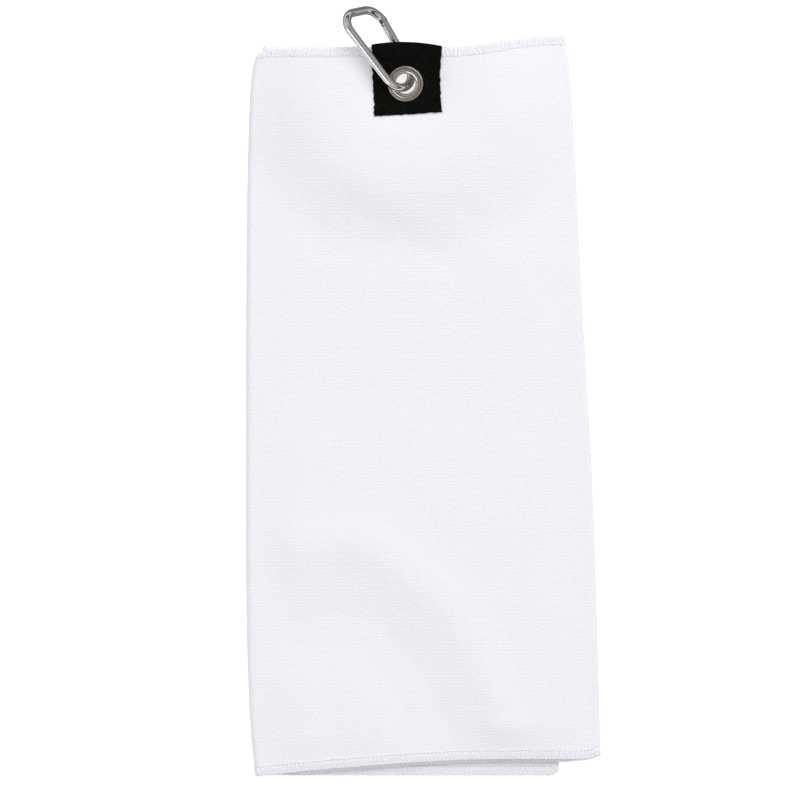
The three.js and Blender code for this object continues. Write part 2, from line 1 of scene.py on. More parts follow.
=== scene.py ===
# A microfibre golf towel, folded in three lengthwise and laid flat, with a fabric patch and a
# grommet at its top edge and an offset-D carabiner through the grommet.
# Shapes are worked out in millimetres from the grommet's centre line, standing on a table at
# z = 0, and placed in the frame in metres.
import math

import bpy
import numpy as np
from mathutils import Matrix, Vector


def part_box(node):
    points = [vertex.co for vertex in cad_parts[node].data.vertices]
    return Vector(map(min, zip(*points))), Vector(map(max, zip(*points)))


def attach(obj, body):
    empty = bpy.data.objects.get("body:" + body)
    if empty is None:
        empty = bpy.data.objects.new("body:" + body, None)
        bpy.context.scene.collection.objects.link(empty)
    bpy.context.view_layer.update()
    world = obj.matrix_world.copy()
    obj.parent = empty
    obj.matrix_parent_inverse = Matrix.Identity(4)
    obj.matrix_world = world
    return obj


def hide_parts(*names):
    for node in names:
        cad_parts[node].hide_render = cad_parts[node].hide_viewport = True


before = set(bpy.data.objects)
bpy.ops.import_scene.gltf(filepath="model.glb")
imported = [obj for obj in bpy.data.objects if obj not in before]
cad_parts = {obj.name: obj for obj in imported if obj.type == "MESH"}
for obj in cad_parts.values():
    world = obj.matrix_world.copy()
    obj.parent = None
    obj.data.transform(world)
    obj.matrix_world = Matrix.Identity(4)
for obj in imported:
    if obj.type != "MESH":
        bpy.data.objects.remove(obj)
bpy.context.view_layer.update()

rng = np.random.default_rng(7)

# ---- driving dimensions, millimetres ----
CLOTH_THICKNESS = 1.9
PINCHED_THICKNESS = 0.5
LAYER_GAP = 0.35
PINCHED_GAP = 0.1
PINCH_INNER = 10.5
PINCH_OUTER = 36
EDGE_CRUSH = 0.8            # share of the thickness left under the overlock thread
EDGE_CRUSH_WIDTH = 7.5
TOP_EDGE_Y = 20.4
TOP_RIGHT_RISE = 6.6
TOP_RISE_X = 24
TOP_RISE_LENGTH = 60
TOP_LEFT_ROUND = 8.5
TOP_LEFT_ROUND_X = -76
TOP_LEFT_ROUND_LENGTH = 14
FRONT_BOTTOM_Y = -379.2
FRONT_BOTTOM_SAG = 9.6
SAG_X = 50
SAG_LENGTH = 135
SAG_POWER = 1.5
BACK_BOTTOM_Y = -388.2
MIDDLE_SHOWS = 1.5
INNER_FLAP_TOP_WIDTH = 164.5
INNER_FLAP_BOTTOM_WIDTH = 170
OUTER_FLAP_EDGE_X = 86.3
BOTTOM_CORNER_RADIUS = 5
BOTTOM_CORNER_X = 101
TOWEL_LENGTH = 406
FRONT_WIDTH = 176

LIFT = 9.3
DIMPLE = 2.2
DIMPLE_RADIUS = 28
LIFT_FLAT_RADIUS = 44
LIFT_END_RADIUS = 102

HOLE_RADIUS = 6.45
PATCH_THICKNESS = 0.6
PATCH_LEFT_X = -18.3
PATCH_RIGHT_X = 20.5
PATCH_SLANT = 0.8
PATCH_BOTTOM_Y = -17.2
PATCH_BOTTOM_TILT = 1.2
PATCH_CROWN_X = -1.6
PATCH_CROWN_Y = 23.5
PATCH_CROWN_DROP = 1.35
PATCH_GAP = 0.3
PATCH_WAIST = 1.0            # how far the right edge curves in
LEFT_FRAY = 0.42
RIGHT_FRAY = 0.28
BOTTOM_FRAY = 0.2
BULGE_HEIGHT = 0.75
BULGE_DEPTH = 8.5
BULGE_RISE = 3

STITCH_PITCH = 2.2
STITCH_DEPTH = 4.8
THREAD_RADIUS = 0.4

GROMMET_HOLE_RADIUS = 5.7
GROMMET_WALL = 0.45
GROMMET_FLANGE_RADIUS = 10.0

GATE_LEAN = math.radians(5.784)
NARROW_RADIUS = 11.0
CORNER_RADIUS = 7.5
CORNER_X = -6.8
CORNER_Y = 44.2
SHOULDER_RADIUS = 12.35
SHOULDER_ALONG = 25.66
WIRE_RADIUS = 2.4
GATE_RADIUS = 2.2
SLOT_WIDTH = 2.2
TONGUE_THICKNESS = 1.6
RIVET_RADIUS = 0.85
GATE_SPAN = 26.8
HINGE_FROM_TANGENT = 0.8
GATE_TIP = 2.0
BORE_RADIUS = 1.15
BORE_START = 4.2
BORE_END = 13.5
CAM_RADIUS = 2.0
CAM_RISE = 2.6
CAM_SPAN = math.radians(32)
PLUNGER_RADIUS = 0.8
PLUNGER_LENGTH = 3.4
PLUNGER_TRAVEL = 1.0
SPRING_RADIUS = 0.62
SPRING_WIRE_RADIUS = 0.17
SPRING_TURNS = 8
CARABINER_HEADING = math.radians(33.5)
CARABINER_ROLL = math.radians(48)
CARABINER_PITCH = math.radians(4.2)
CARABINER_ALONG = -1.5
CARABINER_Z = 9.66

MM = 0.001
eyelet_low, eyelet_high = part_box("grommet_eyelet")
GROMMET = np.array([(eyelet_low.x + eyelet_high.x) / 2, (eyelet_low.y + eyelet_high.y) / 2, 0])


# ---- small tools ----
def lerp(a, b, f):
    return a + (b - a) * f


def clamp01(value):
    return np.clip(value, 0, 1)


def smooth(value):
    f = clamp01(value)
    return f * f * (3 - 2 * f)


def spline(points, samples_each=14):
    """A smooth line through points, as an array of samples."""
    points = np.asarray(points, float)
    padded = np.vstack([2 * points[0] - points[1], points, 2 * points[-1] - points[-2]])
    f = np.linspace(0, 1, samples_each, endpoint=False)[:, None]
    spans = []
    for a, b, c, d in zip(padded, padded[1:], padded[2:], padded[3:]):
        spans.append(
            0.5 * (2 * b + (c - a) * f + (2 * a - 5 * b + 4 * c - d) * f**2 + (3 * b - a - 3 * c + d) * f**3)
        )
    return np.vstack([*spans, points[-1:]])


def line_through(points):
    """x as a function of y, along a smooth line through a few points."""
    samples = spline(points)
    return lambda y: np.interp(-y, -samples[:, 1], samples[:, 0])


def unit(vectors):
    return vectors / np.maximum(np.linalg.norm(vectors, axis=-1, keepdims=True), 1e-12)


def add_object(name, data):
    """A new object in the scene, from a mesh, a light or a camera."""
    added = bpy.data.objects.new(name, data)
    bpy.context.scene.collection.objects.link(added)
    return added


def new_piece(name, points, faces, material, sharp_angle=None):
    """A mesh object from points in millimetres round the grommet's centre line."""
    mesh = bpy.data.meshes.new(name)
    placed = np.asarray(points, float).reshape(-1, 3) * MM + GROMMET
    mesh.from_pydata(placed.tolist(), [], faces)
    mesh.polygons.foreach_set("use_smooth", [True] * len(mesh.polygons))
    if sharp_angle is not None:
        mesh.set_sharp_from_angle(angle=math.radians(sharp_angle))
    mesh.update()
    if material:
        mesh.materials.append(material)
    return add_object(name, mesh)


def stand_in(piece, body, slot, *nodes):
    """The piece moves with a body and replaces CAD nodes; slot is not used."""
    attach(piece, body)
    if nodes:
        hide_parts(*nodes)
    return piece


# ---- how high the cloth lies, and how thick it is there ----
PINCHED_STACK = 3 * PINCHED_THICKNESS + 2 * PINCHED_GAP
STACK_MIDDLE_Z = LIFT + PINCHED_STACK / 2


def loose(x, y):
    return smooth((np.hypot(x, y) - PINCH_INNER) / (PINCH_OUTER - PINCH_INNER))


def cloth_thickness(x, y):
    return lerp(PINCHED_THICKNESS, CLOTH_THICKNESS, loose(x, y))


def layer_gap(x, y):
    return lerp(PINCHED_GAP, LAYER_GAP, loose(x, y))


def stack_height(x, y):
    return 3 * cloth_thickness(x, y) + 2 * layer_gap(x, y)


def cloth_underside(x, y):
    r = np.hypot(x, y)
    dimple = DIMPLE * smooth((r - PINCH_INNER) / (DIMPLE_RADIUS - PINCH_INNER))
    lifted = 1 - smooth((r - LIFT_FLAT_RADIUS) / (LIFT_END_RADIUS - LIFT_FLAT_RADIUS))
    return np.maximum(0, (STACK_MIDDLE_Z + dimple - stack_height(x, y) / 2) * lifted)


def layer_floor(layer, x, y):
    return cloth_underside(x, y) + layer * (cloth_thickness(x, y) + layer_gap(x, y))


def cloth_top(x, y):
    return cloth_underside(x, y) + stack_height(x, y)


# ---- outline of the folded towel ----
left_fold_x = line_through(
    [(-80.5, 19), (-84.8, 12.5), (-87.4, -9), (-89.1, -76), (-89.6, -180), (-89.4, -290),
     (-87.5, -355), (-84.2, -390)]
)
right_fold_x = line_through(
    [(89.4, 27.4), (93.6, -9), (99.2, -121), (105.4, -234), (109.2, -362), (109.4, -380)]
)


def front_top_y(x):
    rise = TOP_RIGHT_RISE * smooth((x - TOP_RISE_X) / TOP_RISE_LENGTH)
    return TOP_EDGE_Y + rise - TOP_LEFT_ROUND * clamp01((TOP_LEFT_ROUND_X - x) / TOP_LEFT_ROUND_LENGTH) ** 2


def front_bottom_y(x):
    sag = FRONT_BOTTOM_SAG * clamp01((SAG_X - x) / SAG_LENGTH) ** SAG_POWER
    corner = BOTTOM_CORNER_RADIUS * clamp01((x - BOTTOM_CORNER_X) / (2 * BOTTOM_CORNER_RADIUS)) ** 2
    return FRONT_BOTTOM_Y - sag + corner


def middle_top_y(x):
    return front_top_y(x) - 1.2 * smooth((88 - x) / 14)


def middle_bottom_y(x):
    return front_bottom_y(x) - MIDDLE_SHOWS * smooth((106 - x) / 20)


def back_top_y(x):
    front = front_top_y(x)
    return np.minimum(front, lerp(front, TOP_EDGE_Y - 0.8, smooth((x + 84) / 14)))


def back_bottom_y(x):
    into_corner = clamp01((x - OUTER_FLAP_EDGE_X) / BOTTOM_CORNER_RADIUS + 1)
    corner = 0.6 * BOTTOM_CORNER_RADIUS * into_corner**2
    return lerp(front_bottom_y(x), BACK_BOTTOM_Y, smooth((x + 84) / 20)) + corner


EDGES = {0: (back_top_y, back_bottom_y), 1: (middle_top_y, middle_bottom_y), 2: (front_top_y, front_bottom_y)}


def fold_radius(side, x, y):
    step = cloth_thickness(x, y) + layer_gap(x, y)
    return step if side == "left" else step / 2


def fold_centre_x(side, y):
    x = left_fold_x(y) if side == "left" else right_fold_x(y)
    inward = fold_radius(side, x, y) + cloth_thickness(x, y) / 2
    return x + inward if side == "left" else x - inward


def free_edge_x(layer, y):
    if layer == 0:
        return np.full_like(y, OUTER_FLAP_EDGE_X)
    width = lerp(INNER_FLAP_TOP_WIDTH, INNER_FLAP_BOTTOM_WIDTH, clamp01(y / FRONT_BOTTOM_Y))
    return right_fold_x(y) - width


# ---- soft folds and fullness of the front layer ----
UPPER_FULLNESS = 0.5
LOWER_FULLNESS = 2.2
FULLNESS_GROWS_Y = -170
FULLNESS_GROWS_OVER = 80
WAVE_HEIGHT = 0.08
WAVE_COUNT = 9
CALM_RADIUS = 27             # the layers are flat this far round the grommet
CALM_FADE = 42
LEFT_FADE = 30
RIGHT_FADE = 36
TOP_FADE = 24
TOP_SHARE = 0.15             # share of the relief that reaches the top edge
BOTTOM_FADE = 20
BOTTOM_SHARE = 0.3

# Broad waves: wavelength, heading, phase and share of the wave height.
WAVES = [
    (rng.uniform(45, 120), rng.uniform(0, math.pi), rng.uniform(0, 2 * math.pi), rng.uniform(0.5, 1))
    for _ in range(WAVE_COUNT)
]


def beside(x, y, points, width):
    """A soft bump of height 1 along a line through points; width is its standard deviation."""
    line = spline(points, 10)
    near = np.full(np.shape(x), 1e9)
    for (ax, ay), (bx, by) in zip(line, line[1:]):
        length2 = (bx - ax) ** 2 + (by - ay) ** 2
        f = clamp01(((x - ax) * (bx - ax) + (y - ay) * (by - ay)) / length2)
        near = np.minimum(near, (x - lerp(ax, bx, f)) ** 2 + (y - lerp(ay, by, f)) ** 2)
    return np.exp(-near / (2 * width**2))


# Soft folds of the front layer: height, width, and the line that each follows.
FOLDS = [
    (0.12, 8, [(-70, -30), (-40, -47), (2, -71)]),
    (-0.12, 8, [(-74, -48), (-44, -67), (-6, -88)]),
    (0.24, 6, [(-34, -50), (-4, -70), (26, -82)]),
    (-0.28, 6, [(-34, -66), (-6, -84), (20, -98), (30, -104)]),
    (0.4, 7, [(44, -92), (62, -108), (74, -130)]),
    (1.9, 10, [(-62, -260), (-27, -258), (10, -280), (34, -310), (54, -360)]),
    (-2.6, 15, [(-60, -308), (-30, -306), (-8, -324), (8, -350), (20, -386)]),
    (-0.5, 8, [(-44, -318), (-42, -348), (-40, -380)]),
    (-0.5, 5, [(40, -350), (42, -378)]),
    (0.2, 5, [(-17, -24), (-32, -50), (-42, -72)]),
    (-0.2, 5, [(-26, -20), (-44, -42), (-60, -56)]),
    (0.35, 6, [(22, -24), (34, -46), (40, -66)]),
    (-0.35, 6, [(30, -16), (50, -34)]),
    (0.35, 5, [(-30, 6), (-48, -8), (-62, -16)]),
    (-0.35, 5, [(34, 8), (50, 2), (66, -10)]),
]


def relief(x, y):
    """How far the front layer stands above its flat place."""
    height = lerp(UPPER_FULLNESS, LOWER_FULLNESS, smooth((FULLNESS_GROWS_Y - y) / FULLNESS_GROWS_OVER))
    for wavelength, heading, phase, size in WAVES:
        across = x * math.cos(heading) + y * math.sin(heading)
        height = height + WAVE_HEIGHT * size * np.sin(2 * math.pi * across / wavelength + phase)
    for rise, width, points in FOLDS:
        height = height + rise * beside(x, y, points, width)
    from_grommet = smooth((np.hypot(x, y) - CALM_RADIUS) / CALM_FADE)
    from_left = smooth((x - fold_centre_x("left", y)) / LEFT_FADE)
    from_right = smooth((fold_centre_x("right", y) - x) / RIGHT_FADE)
    from_top = TOP_SHARE + (1 - TOP_SHARE) * smooth((front_top_y(x) - y) / TOP_FADE)
    from_bottom = BOTTOM_SHARE + (1 - BOTTOM_SHARE) * smooth((y - front_bottom_y(x)) / BOTTOM_FADE)
    return np.maximum(0, height) * from_grommet * from_left * from_right * from_top * from_bottom


# ---- the folded cloth ----
SETTLE_START_Y = -180.0
SETTLE_ROUNDS = 5
CLOTH_SHARP_ANGLE = 50
METAL_SHARP_ANGLE = 40
CARVED_SHARP_ANGLE = 32
HOLE_MARGIN = 0.4
FINE_STEP = 1.0
COARSE_STEP = 2.1
FINE_MARGIN = 9


def edge_crush(depth):
    return lerp(EDGE_CRUSH, 1, smooth(depth / EDGE_CRUSH_WIDTH))


def settle_rows(layer, across_x, row_y):
    """The y of each row, where x depends on y and the edges depend on x."""
    y = np.full(np.broadcast(across_x(np.zeros(1)), row_y(0, -1)).shape, SETTLE_START_Y)
    top_y, bottom_y = EDGES[layer]
    for _ in range(SETTLE_ROUNDS):
        x = across_x(y)
        y = row_y(top_y(x), bottom_y(x))
    x = across_x(y)
    depth = np.minimum(top_y(x) - y, y - bottom_y(x))
    return x, y, depth


def layer_faces(layer, fractions, inset, row_y):
    """Both faces of one flat layer: outer first, with columns from the fold to the free edge."""
    fractions = np.asarray(fractions, float)[:, None]

    def across_x(y):
        left = fold_centre_x("left", y)
        right = fold_centre_x("right", y)
        if layer == 2:
            return lerp(left, right, fractions)
        if layer == 1:
            return lerp(free_edge_x(1, y) + inset, right, fractions)
        return lerp(left, free_edge_x(0, y) - inset, fractions)

    x, y, depth = settle_rows(layer, across_x, row_y)
    if layer != 2:
        depth = np.minimum(depth, np.abs(free_edge_x(layer, y) - x))
    thickness = cloth_thickness(x, y)
    middle = layer_floor(layer, x, y) + thickness / 2
    if layer == 2:
        middle = middle + relief(x, y)
    half = thickness / 2 * edge_crush(depth)
    low = np.stack([x, y, middle - half], -1)
    high = np.stack([x, y, middle + half], -1)
    return (high, low) if layer == 2 else (low, high)


def fold_faces(side, angles, row_y):
    angles = np.asarray(angles, float)[:, None]
    x, y, depth = settle_rows(2, lambda y: fold_centre_x(side, y) + 0 * angles, row_y)
    full = cloth_thickness(x, y) / 2
    half = full * edge_crush(depth)
    radius = fold_radius(side, x, y)
    centre_z = layer_floor(0 if side == "left" else 1, x, y) + full + radius
    outward = -1 if side == "left" else 1
    faces = []
    for r in (radius + half, radius - half):
        faces.append(np.stack([x + outward * r * np.cos(angles), y, centre_z + r * np.sin(angles)], -1))
    return faces


FOLD_ANGLES = np.linspace(-math.pi / 2, math.pi / 2, 15)[1:-1]


def folded_faces(fractions, inset, row_y):
    """Both faces along the whole folded strip, from the left flap's free edge to the right one's."""
    fractions = np.asarray(fractions, float)
    parts = [
        layer_faces(0, fractions[::-1], inset, row_y),
        fold_faces("left", FOLD_ANGLES, row_y),
        layer_faces(2, np.linspace(0, 1, len(fractions)), 0, row_y),
        fold_faces("right", FOLD_ANGLES[::-1], row_y),
        layer_faces(1, 1 - fractions, inset, row_y),
    ]
    return [np.concatenate([part[face] for part in parts]) for face in (0, 1)]


def thick_grid(name, outer, inner, material, keep):
    """A closed sheet between two grids of points, without the cells that keep leaves out."""
    columns, rows = outer.shape[:2]
    number = np.arange(columns * rows).reshape(columns, rows)
    other = number + columns * rows
    a, b = number[:-1, :-1][keep], number[1:, :-1][keep]
    c, d = number[1:, 1:][keep], number[:-1, 1:][keep]
    sheets = [np.stack([a, b, c, d], -1), np.stack([d, c, b, a], -1) + columns * rows]
    padded = np.pad(keep, 1)
    for axis in (0, 1):
        step = np.diff(padded.astype(int), axis=axis)
        inside = step[:, 1:-1] if axis == 0 else step[1:-1, :]
        for sign in (1, -1):
            i, j = np.nonzero(inside == sign)
            p = number[i, j]
            q = number[i, j + 1] if axis == 0 else number[i + 1, j]
            wall = np.stack([p, q, q + columns * rows, p + columns * rows], -1)
            flip = (sign == 1) == (axis == 0)
            sheets.append(wall[:, ::-1] if flip else wall)
    faces = np.concatenate(sheets)
    points = np.concatenate([outer.reshape(-1, 3), inner.reshape(-1, 3)])
    used, faces = np.unique(faces, return_inverse=True)
    return new_piece(name, points[used], faces.reshape(-1, 4).tolist(), material, CLOTH_SHARP_ANGLE)


def clear_hole(outer, inner, radius):
    """The cells to keep round the grommet's hole, with the hole's border moved onto its circle."""
    r = np.hypot(outer[..., 0], outer[..., 1])
    cell_r = (r[:-1, :-1] + r[1:, :-1] + r[1:, 1:] + r[:-1, 1:]) / 4
    keep = cell_r > radius + HOLE_MARGIN
    gone = np.zeros(r.shape, bool)
    stay = np.zeros(r.shape, bool)
    for di in (0, 1):
        for dj in (0, 1):
            view = (slice(di, r.shape[0] - 1 + di), slice(dj, r.shape[1] - 1 + dj))
            gone[view] |= ~keep
            stay[view] |= keep
    border = gone & stay
    for grid in (outer, inner):
        scale = radius / np.maximum(np.hypot(grid[..., 0], grid[..., 1]), 1e-6)
        grid[border, 0] *= scale[border]
        grid[border, 1] *= scale[border]
    return keep


def graded(length):
    """Distances from 0 to length, fine near both ends and coarse between."""
    ends = np.arange(0, FINE_MARGIN, FINE_STEP)
    count = int((length - 2 * FINE_MARGIN) / COARSE_STEP) + 1
    middle = np.linspace(FINE_MARGIN, length - FINE_MARGIN, count)
    return np.concatenate([ends, middle, length - ends[::-1]])


ROW_DEPTHS = graded(TOWEL_LENGTH)
COLUMN_FRACTIONS = graded(FRONT_WIDTH) / FRONT_WIDTH


def rows_at(depths):
    """Rows at these distances down the towel, following its top edge and, farther down, its bottom."""
    share = smooth(depths / TOWEL_LENGTH)[None, :]

    def row_y(top, bottom):
        return lerp(top - depths[None, :], bottom + TOWEL_LENGTH - depths[None, :], share)

    return row_y


def build_cloth(material):
    outer, inner = folded_faces(COLUMN_FRACTIONS, 0, rows_at(ROW_DEPTHS))
    keep = clear_hole(outer, inner, HOLE_RADIUS)
    return thick_grid("folded_towelling", outer, inner, material, keep)


# ---- overlock seams: looper threads that wrap a cut edge, and a needle thread ----
SEAM_DEPTHS = np.arange(0, 7.0)
NEEDLE_RADIUS = THREAD_RADIUS * 0.75


class EdgeStrip:
    """A strip of cloth beside a cut edge, from its two faces; the second index is the depth in mm."""

    def __init__(self, outer, inner):
        self.middle = (outer + inner) / 2
        offset = (outer - inner) / 2
        self.half = np.linalg.norm(offset, axis=-1, keepdims=True)
        self.normal = unit(offset)
        steps = np.linalg.norm(np.diff(self.middle[:, 0], axis=0), axis=-1)
        self.along = np.concatenate([[0], np.cumsum(steps)])

    def place(self, along, depth, side):
        """A point at a distance along the edge and in from it, side thread heights off the middle."""
        i = np.interp(along, self.along, np.arange(len(self.along)))
        i0 = np.minimum(i.astype(int), len(self.along) - 2)
        j = clamp01(depth / SEAM_DEPTHS[-1]) * SEAM_DEPTHS[-1]
        j0 = np.minimum(j.astype(int), len(SEAM_DEPTHS) - 2)
        fi, fj = (i - i0)[:, None], (j - j0)[:, None]

        def at(grid):
            near = lerp(grid[i0, j0], grid[i0 + 1, j0], fi)
            far = lerp(grid[i0, j0 + 1], grid[i0 + 1, j0 + 1], fi)
            return lerp(near, far, fj)

        middle, half, normal = at(self.middle), at(self.half), unit(at(self.normal))
        away = self.middle[:, 0] - self.middle[:, 1]
        outward = unit(lerp(away[i0], away[i0 + 1], fi))
        beyond = np.maximum(0, -depth)[:, None] * outward
        place = middle + beyond + normal * side[:, None] * (half + THREAD_RADIUS * 0.8)
        place[:, 2] = np.maximum(place[:, 2], THREAD_RADIUS)
        return place


def tube_faces(rings, sides):
    """The faces of a tube closed at both ends, from its rings of points in order."""
    faces = []
    for i in range(rings - 1):
        for k in range(sides):
            n = (k + 1) % sides
            faces.append((i * sides + k, i * sides + n, (i + 1) * sides + n, (i + 1) * sides + k))
    faces.append(tuple(range(sides))[::-1])
    faces.append(tuple((rings - 1) * sides + k for k in range(sides)))
    return faces


def tube(points, radius, sides=6):
    """Points and faces of a round thread along a line of points, closed at both ends."""
    tangents = unit(np.gradient(points, axis=0))
    up = np.array([0.3, 0.2, 1.0])
    ring = np.arange(sides) * 2 * math.pi / sides
    rings = []
    for tangent, point in zip(tangents, points):
        up = up - tangent * up.dot(tangent)
        up = up / max(np.linalg.norm(up), 1e-9)
        across = np.cross(tangent, up)
        rings.append(point + radius * (np.cos(ring)[:, None] * up + np.sin(ring)[:, None] * across))
    return np.vstack(rings), tube_faces(len(rings), sides)


# One stitch of each thread: share of the pitch along, depth from the edge, height off the cloth.
LOOPER = [
    (0.00, 4.7, 0.72), (0.10, 4.2, 0.8), (0.21, 2.7, 0.86), (0.32, 1.1, 0.84), (0.41, 0.1, 0.65),
    (0.50, -0.35, 0.1), (0.59, 0.1, 0.65), (0.68, 1.1, 0.84), (0.79, 2.7, 0.86), (0.90, 4.2, 0.8),
]
NEEDLE = [(0.0, 4.8, 0.3), (0.14, 4.9, 0.92), (0.5, 4.95, 1.0), (0.86, 4.9, 0.92)]


def stitch_line(strip, template, side, shift, random):
    count = int(strip.along[-1] / STITCH_PITCH) - 1
    pitch = (strip.along[-1] - 2 * THREAD_RADIUS) / (count + 1)
    share, depth, height = np.array(template).T
    wander = random.normal(0, 0.05, (count, 1))
    deeper = random.normal(0, 0.16, (count, 1))
    stitch = np.arange(count)[:, None]
    along = THREAD_RADIUS + (stitch + share + shift + wander * np.sin(math.pi * share)) * pitch
    depths = depth + deeper * clamp01(depth / STITCH_DEPTH)
    heights = side * height + np.zeros((count, 1))
    return strip.place(along.ravel(), depths.ravel(), heights.ravel())


def build_seam(name, strip, material, seed):
    random = np.random.default_rng(seed)
    points, faces = [], []
    start = 0
    for template, radius in ((LOOPER, THREAD_RADIUS), (NEEDLE, NEEDLE_RADIUS)):
        for side, shift in ((1, 0.0), (-1, 0.5)):
            line = stitch_line(strip, template, side, shift, random)
            thread_points, thread_faces = tube(line, radius)
            points.append(thread_points)
            faces.extend(tuple(k + start for k in face) for face in thread_faces)
            start += len(thread_points)
    return new_piece(name, np.vstack(points), faces, material)


def flap_strip(layer):
    """The strip beside a flap's free edge, which starts and ends just inside the towel's cut edges."""
    row_y = rows_at(np.arange(3.5, TOWEL_LENGTH - 3.0, 2.0))
    free_edge = [1.0 if layer == 0 else 0.0]
    faces = [layer_faces(layer, free_edge, inset, row_y) for inset in SEAM_DEPTHS]
    outer = np.stack([face[0][0] for face in faces], 1)
    inner = np.stack([face[1][0] for face in faces], 1)
    return EdgeStrip(outer, inner)


def build_seams(material):
    def top_rows(top, bottom):
        return top - SEAM_DEPTHS[None, :] + 0 * bottom

    def bottom_rows(top, bottom):
        return bottom + SEAM_DEPTHS[None, :] + 0 * top

    top = EdgeStrip(*folded_faces(COLUMN_FRACTIONS, 0, top_rows))
    bottom = EdgeStrip(*folded_faces(COLUMN_FRACTIONS, 0, bottom_rows))
    seams = [
        ("top_overlock_thread", top, 11, "top_overlock_seam"),
        ("bottom_overlock_thread", bottom, 12, "bottom_overlock_seam"),
        ("inner_flap_overlock_thread", flap_strip(1), 13, "inner_flap_overlock_seam"),
        ("outer_flap_overlock_thread", flap_strip(0), 14, "outer_flap_overlock_seam"),
    ]
    pieces = []
    for name, strip, seed, node in seams:
        piece = build_seam(name, strip, material, seed)
        pieces.append(stand_in(piece, "towel", "overlock_thread", node))
    return pieces


# ---- the fabric patch, folded over the top edge ----
PATCH_COLUMNS = 79
PATCH_FLAP_ROWS = 80
PATCH_FOLD_ANGLES = np.linspace(math.pi / 2, -math.pi / 2, 21)
PATCH_FOLD_START = TOP_EDGE_Y + PATCH_GAP


def thread_bulge(y):
    """How much the overlock thread lifts the patch along the towel's top edge."""
    return BULGE_HEIGHT * smooth((y - TOP_EDGE_Y + BULGE_DEPTH) / BULGE_RISE)


def ragged(count, size, random):
    """A frayed edge: small random steps along it, softened a little."""
    raw = random.normal(0, 1, count + 4)
    return size * (raw[:-4] + 2 * raw[1:-3] + 3 * raw[2:-2] + 2 * raw[3:-1] + raw[4:]) / 9


def build_patch(material):
    random = np.random.default_rng(21)
    f = np.linspace(0, 1, PATCH_COLUMNS)[:, None]
    down = np.linspace(1, 0, PATCH_FLAP_ROWS)[None, :]
    left_wander = ragged(PATCH_FLAP_ROWS, LEFT_FRAY, random)
    right_wander = ragged(PATCH_FLAP_ROWS, RIGHT_FRAY, random)

    def patch_x(down, wander_left, wander_right):
        left = PATCH_LEFT_X + lerp(-PATCH_SLANT, PATCH_SLANT, down) + wander_left
        right = PATCH_RIGHT_X - PATCH_WAIST * np.sin(math.pi * clamp01(down)) + wander_right
        return lerp(left, right, f)

    bottom = PATCH_BOTTOM_Y + lerp(-PATCH_BOTTOM_TILT, PATCH_BOTTOM_TILT, f)
    bottom = bottom + ragged(PATCH_COLUMNS, BOTTOM_FRAY, random)[:, None]

    def flap(front):
        x = patch_x(down, left_wander, right_wander)
        y = lerp(PATCH_FOLD_START, bottom, down)
        if front:
            inner = cloth_top(x, y) + relief(x, y) + PATCH_GAP + thread_bulge(y)
            outer = inner + PATCH_THICKNESS
        else:
            inner = cloth_underside(x, y) - PATCH_GAP - thread_bulge(y)
            outer = inner - PATCH_THICKNESS
        return np.stack([x, y, outer], -1), np.stack([x, y, inner], -1)

    x = patch_x(np.zeros((1, 1)), left_wander[-1], right_wander[-1])
    from_crown = (x - PATCH_CROWN_X) / (PATCH_CROWN_X - PATCH_LEFT_X)
    crown = PATCH_CROWN_Y - PATCH_CROWN_DROP * from_crown**2
    low = cloth_underside(x, PATCH_FOLD_START) - PATCH_GAP - thread_bulge(PATCH_FOLD_START)
    high = cloth_top(x, PATCH_FOLD_START) + PATCH_GAP + thread_bulge(PATCH_FOLD_START)
    fold = []
    for out in (PATCH_THICKNESS, 0):
        reach = crown - PATCH_FOLD_START - PATCH_THICKNESS + out
        rise = (high - low) / 2 + out
        y = PATCH_FOLD_START + reach * np.cos(PATCH_FOLD_ANGLES)
        z = (low + high) / 2 + rise * np.sin(PATCH_FOLD_ANGLES)
        fold.append(np.stack([x + 0 * y, y, z], -1)[:, 1:-1])
    front, back = flap(True), flap(False)
    outer = np.concatenate([front[0], fold[0], back[0][:, ::-1]], 1)
    inner = np.concatenate([front[1], fold[1], back[1][:, ::-1]], 1)
    keep = clear_hole(outer, inner, HOLE_RADIUS)
    return thick_grid("folded_patch", outer, inner, material, keep)


# ---- grommet ----
PATCH_FACE = PINCHED_STACK / 2 + PATCH_GAP + PATCH_THICKNESS
PROFILE_SAMPLES = 6


def lathe(profile, segments=128):
    """Points and faces of a closed outline of (radius, height) turned about the z axis."""
    radii, heights = np.asarray(profile, float).T
    rings = []
    for angle in np.arange(segments) * 2 * math.pi / segments:
        rings.append(np.stack([radii * math.cos(angle), radii * math.sin(angle), heights], -1))
    count = len(radii)
    faces = []
    for i in range(segments):
        n = (i + 1) % segments
        for k in range(count):
            m = (k + 1) % count
            faces.append((i * count + k, i * count + m, n * count + m, n * count + k))
    return np.vstack(rings), faces


